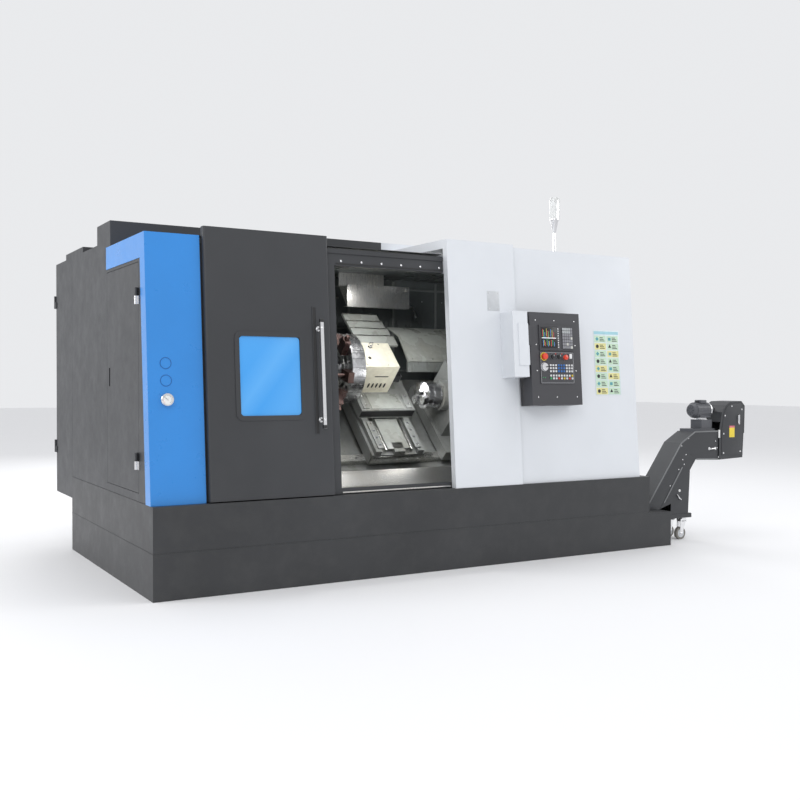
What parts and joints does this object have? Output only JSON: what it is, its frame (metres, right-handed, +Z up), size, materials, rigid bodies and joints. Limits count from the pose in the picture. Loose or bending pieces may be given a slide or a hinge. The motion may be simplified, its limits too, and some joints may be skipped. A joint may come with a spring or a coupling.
{
  "type": "cnc turning lathe",
  "caption": "Slant-bed turning lathe in a sheet-metal enclosure with sliding door, tool turret, two spindles, swivelling control panel, signal lamp and chip conveyor.",
  "frame": {"origin": "centre of the base's footprint, on the floor", "axes": "+X along the front to the conveyor's end, +Y to the back, +Z up"},
  "size_m": [5.128, 2.779, 2.766],
  "materials": {
    "base_paint": "textured charcoal paint",
    "dark_paint": "textured charcoal paint",
    "blue_paint": "satin blue paint",
    "white_paint": "satin white paint",
    "cream_paint": "enamel",
    "grey_paint": "satin grey paint",
    "inner_paint": "satin grey paint, oily",
    "cast_grey": "painted casting",
    "ground_steel": "ground",
    "stainless": "brushed sheet",
    "chuck_steel": "turned and polished",
    "tool_steel": "blackened, oily",
    "bright_metal": "plated",
    "satin_aluminium": "anodised",
    "window_glass": "blue tinted",
    "lens": "clear lens",
    "panel_plastic": "matt",
    "red_plastic": "gloss",
    "black_plastic": "gloss",
    "white_plastic": "gloss",
    "caster_rubber": "grey rubber"
  },
  "bodies": {
    "machine": {"base_tub": "base_paint", "slant_bed": "cast_grey", "bed_rails": "ground_steel", "headstock": "cast_grey", "spindle_motor": "grey_paint", "corner_cover": "blue_paint", "pressure_gauge": "bright_metal", "left_side_panel": "dark_paint", "side_door_hinges": "bright_metal", "electrical_cabinet": "dark_paint", "top_beam": "dark_paint", "rear_shell": "dark_paint", "roof_box": "dark_paint", "back_wall": "inner_paint", "stainless_panel": "stainless", "chip_pan": "stainless", "front_frame": "dark_paint", "hood": "white_paint", "right_cover": "white_paint", "right_end_panel": "white_paint", "panel_bracket": "white_paint", "lamp_pole": "bright_metal", "lamp_lens": "lens", "conveyor_trough": "dark_paint", "conveyor_drive": "dark_paint", "conveyor_motor": "grey_paint"},
    "side_door": {"side_door": "dark_paint"},
    "cabinet_door_left": {"cabinet_door_left": "dark_paint"},
    "cabinet_door_right": {"cabinet_door_right": "dark_paint"},
    "sliding_door": {"door_shell": "dark_paint", "door_window": "window_glass", "door_handle": "satin_aluminium"},
    "panel": {"panel_box": "panel_plastic", "screen_unit": "panel_plastic", "operator_plate": "panel_plastic"},
    "e_stop": {"e_stop_button": "red_plastic"},
    "handwheel": {"handwheel": "bright_metal"},
    "feed_knob": {"feed_knob": "black_plastic"},
    "spindle_knob": {"spindle_knob": "black_plastic"},
    "mode_knob": {"mode_knob": "red_plastic"},
    "power_switch": {"power_switch": "white_plastic"},
    "main_spindle": {"main_spindle": "ground_steel", "main_chuck": "chuck_steel"},
    "main_jaw_1": {"main_jaw_1": "chuck_steel"},
    "main_jaw_2": {"main_jaw_2": "chuck_steel"},
    "main_jaw_3": {"main_jaw_3": "chuck_steel"},
    "saddle": {"saddle": "cast_grey"},
    "cross_slide": {"cross_slide": "cast_grey", "turret_housing": "cream_paint"},
    "turret": {"turret_disc": "chuck_steel", "tool_holders": "tool_steel"},
    "sub_slide": {"sub_spindle_body": "cast_grey"},
    "sub_spindle": {"sub_chuck": "chuck_steel"},
    "sub_jaw_1": {"sub_jaw_1": "chuck_steel"},
    "sub_jaw_2": {"sub_jaw_2": "chuck_steel"},
    "sub_jaw_3": {"sub_jaw_3": "chuck_steel"},
    "caster_front": {"caster_fork_front": "bright_metal"},
    "wheel_front": {"caster_wheel_front": "caster_rubber"},
    "caster_rear": {"caster_fork_rear": "bright_metal"},
    "wheel_rear": {"caster_wheel_rear": "caster_rubber"}
  },
  "joints": [
    {"name": "door_slide", "type": "slide", "parent": "machine", "child": "sliding_door", "axis": [1, 0, 0], "range_m": [0, 0.89]},
    {"name": "side_door_hinge", "type": "hinge", "parent": "machine", "child": "side_door", "pos_m": [-2.067, -0.745, 0.8], "axis": [0, 0, 1], "range_deg": [0, 110]},
    {"name": "cabinet_hinge_left", "type": "hinge", "parent": "machine", "child": "cabinet_door_left", "pos_m": [-2.055, 1.6305, 0.8], "axis": [0, 0, 1], "range_deg": [0, 110]},
    {"name": "cabinet_hinge_right", "type": "hinge", "parent": "machine", "child": "cabinet_door_right", "pos_m": [-0.453, 1.6305, 0.8], "axis": [0, 0, -1], "range_deg": [0, 110]},
    {"name": "panel_swivel", "type": "hinge", "parent": "machine", "child": "panel", "pos_m": [0.608, -1.09145, 1.53685], "axis": [0, -0.0797, -0.9968], "range_deg": [0, 75]},
    {"name": "e_stop_push", "type": "slide", "parent": "panel", "child": "e_stop", "axis": [0, 0.9968, -0.0797], "range_m": [0, 0.005], "stiffness_N_per_m": 800},
    {"name": "handwheel_turn", "type": "hinge", "parent": "panel", "child": "handwheel", "pos_m": [0.743, -1.10071, 1.3841], "axis": [0, -0.9968, 0.0797], "continuous": true},
    {"name": "feed_knob_turn", "type": "hinge", "parent": "panel", "child": "feed_knob", "pos_m": [0.82, -1.09481, 1.45786], "axis": [0, -0.9968, 0.0797], "range_deg": [-135, 135]},
    {"name": "spindle_knob_turn", "type": "hinge", "parent": "panel", "child": "spindle_knob", "pos_m": [0.878, -1.09481, 1.45786], "axis": [0, -0.9968, 0.0797], "range_deg": [-135, 135]},
    {"name": "mode_knob_turn", "type": "hinge", "parent": "panel", "child": "mode_knob", "pos_m": [0.937, -1.09513, 1.45388], "axis": [0, -0.9968, 0.0797], "range_deg": [-135, 135]},
    {"name": "power_switch_push", "type": "slide", "parent": "panel", "child": "power_switch", "axis": [0, 0.9968, -0.0797], "range_m": [0, 0.003], "stiffness_N_per_m": 600},
    {"name": "main_spindle_turn", "type": "hinge", "parent": "machine", "child": "main_spindle", "pos_m": [-0.975, -0.245, 1.174], "axis": [1, 0, 0], "continuous": true},
    {"name": "main_jaw_1_slide", "type": "slide", "parent": "main_spindle", "child": "main_jaw_1", "axis": [0, 0, -1], "range_m": [0, 0.006]},
    {"name": "main_jaw_2_slide", "type": "slide", "parent": "main_spindle", "child": "main_jaw_2", "axis": [0, 0.866, 0.5], "range_m": [0, 0.006]},
    {"name": "main_jaw_3_slide", "type": "slide", "parent": "main_spindle", "child": "main_jaw_3", "axis": [0, -0.866, 0.5], "range_m": [0, 0.006]},
    {"name": "sub_jaw_1_slide", "type": "slide", "parent": "sub_spindle", "child": "sub_jaw_1", "axis": [0, 0, -1], "range_m": [0, 0.006]},
    {"name": "sub_jaw_2_slide", "type": "slide", "parent": "sub_spindle", "child": "sub_jaw_2", "axis": [0, 0.866, 0.5], "range_m": [0, 0.006]},
    {"name": "sub_jaw_3_slide", "type": "slide", "parent": "sub_spindle", "child": "sub_jaw_3", "axis": [0, -0.866, 0.5], "range_m": [0, 0.006]},
    {"name": "saddle_slide", "type": "slide", "parent": "machine", "child": "saddle", "axis": [1, 0, 0], "range_m": [-0.24, 0.15]},
    {"name": "cross_slide_slide", "type": "slide", "parent": "saddle", "child": "cross_slide", "axis": [0, 0.7071, 0.7071], "range_m": [-0.03, 0.23]},
    {"name": "turret_index", "type": "hinge", "parent": "cross_slide", "child": "turret", "pos_m": [-0.315, -0.04489, 1.37411], "axis": [1, 0, 0], "continuous": true},
    {"name": "sub_spindle_slide", "type": "slide", "parent": "machine", "child": "sub_slide", "axis": [1, 0, 0], "range_m": [-0.04, 0.12]},
    {"name": "sub_spindle_turn", "type": "hinge", "parent": "sub_slide", "child": "sub_spindle", "pos_m": [0.545, -0.245, 1.174], "axis": [1, 0, 0], "continuous": true},
    {"name": "caster_swivel_front", "type": "hinge", "parent": "machine", "child": "caster_front", "pos_m": [2.37, -0.863, 0.165], "axis": [0, 0, 1], "continuous": true},
    {"name": "caster_roll_front", "type": "hinge", "parent": "caster_front", "child": "wheel_front", "pos_m": [2.34, -0.863, 0.05], "axis": [0, 1, 0], "continuous": true},
    {"name": "caster_swivel_rear", "type": "hinge", "parent": "machine", "child": "caster_rear", "pos_m": [2.37, -0.737, 0.165], "axis": [0, 0, 1], "continuous": true},
    {"name": "caster_roll_rear", "type": "hinge", "parent": "caster_rear", "child": "wheel_rear", "pos_m": [2.34, -0.737, 0.05], "axis": [0, 1, 0], "continuous": true}
  ],
  "couplings": [
    {"joint": "main_jaw_2_slide", "follows": "main_jaw_1_slide", "ratio": 1},
    {"joint": "main_jaw_3_slide", "follows": "main_jaw_1_slide", "ratio": 1},
    {"joint": "sub_jaw_2_slide", "follows": "sub_jaw_1_slide", "ratio": 1},
    {"joint": "sub_jaw_3_slide", "follows": "sub_jaw_1_slide", "ratio": 1}
  ]
}
